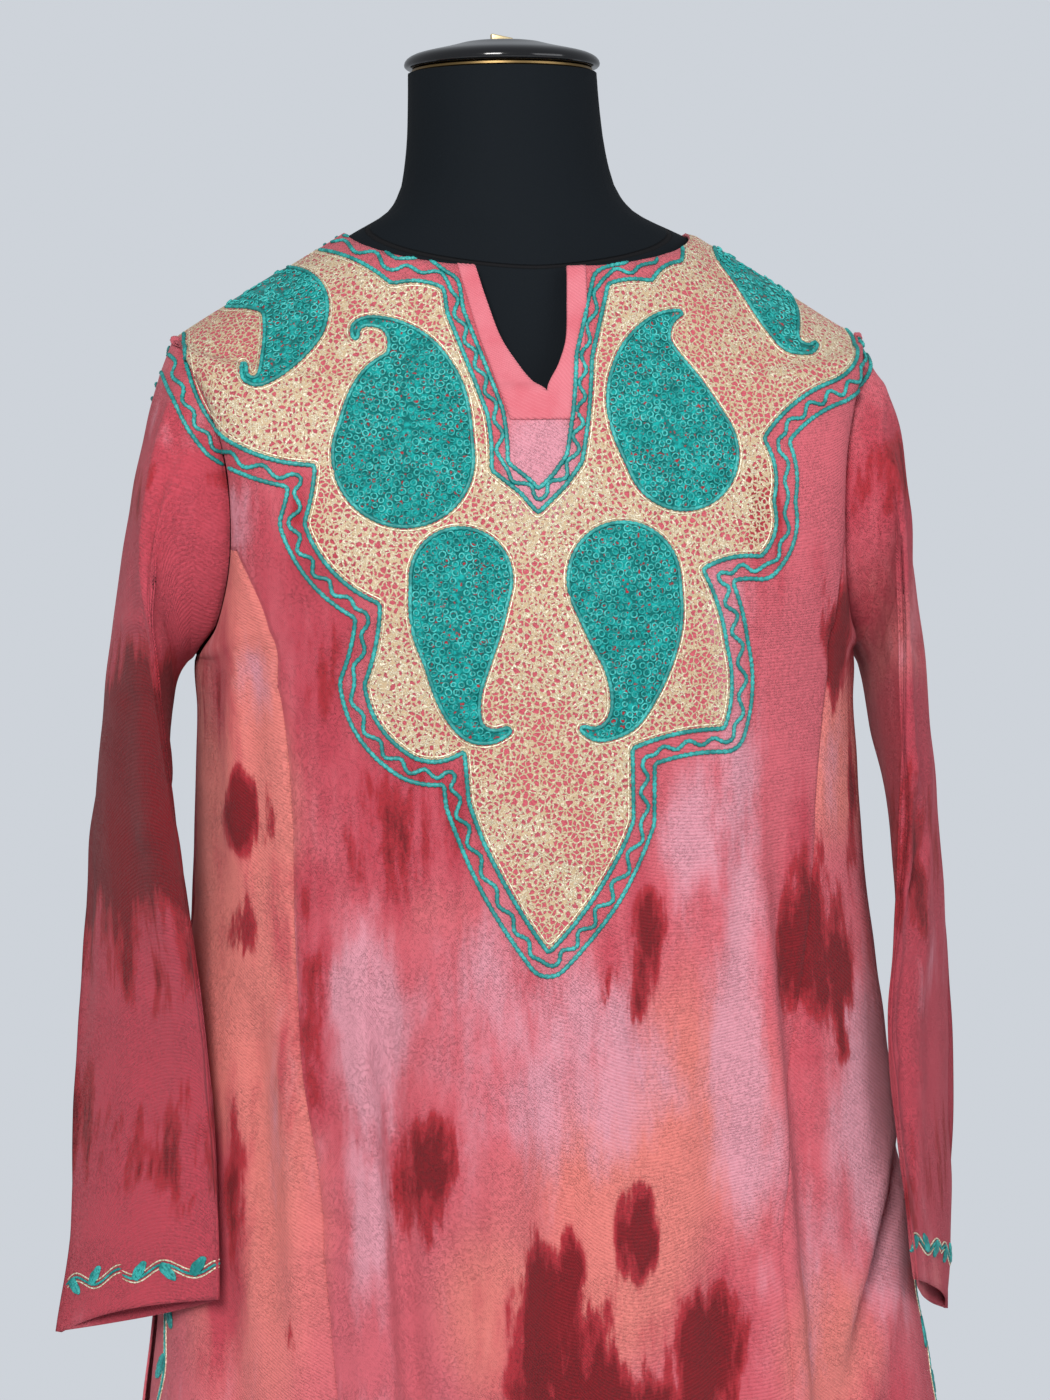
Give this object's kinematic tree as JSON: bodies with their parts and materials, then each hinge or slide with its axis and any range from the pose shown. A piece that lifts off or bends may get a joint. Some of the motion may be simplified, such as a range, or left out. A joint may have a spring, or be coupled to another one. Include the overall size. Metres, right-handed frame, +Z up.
{
  "type": "pheran on dress form",
  "caption": "Loose long-sleeved pheran tunic with embroidered yoke and side slits, on a limbless dress form with pole and round base.",
  "frame": {"origin": "on the floor, at the centre of the base's underside, below the neck and pole", "axes": "+Z up the pole; the front of the garment faces -Y; +X is the wearer's left side"},
  "size_m": [0.576, 0.4, 1.4665],
  "materials": {
    "dyed_cloth": "tie-dyed twill, matt",
    "facing_cloth": "plain weave, matt",
    "form_cloth": "stretched jersey, matt",
    "cap_lacquer": "gloss",
    "brass_trim": "satin",
    "stand_enamel": "satin"
  },
  "bodies": {
    "root": {"front_panel": "dyed_cloth", "back_panel": "dyed_cloth", "gore_front_left": "dyed_cloth", "gore_front_right": "dyed_cloth", "gore_back_left": "dyed_cloth", "gore_back_right": "dyed_cloth", "sleeve_left": "dyed_cloth", "sleeve_right": "dyed_cloth", "neck_facing": "facing_cloth", "form_body": "form_cloth", "neck_cap": "cap_lacquer", "cap_ring": "brass_trim", "cap_knob": "brass_trim", "pole": "stand_enamel", "base": "stand_enamel"}
  },
  "joints": []
}
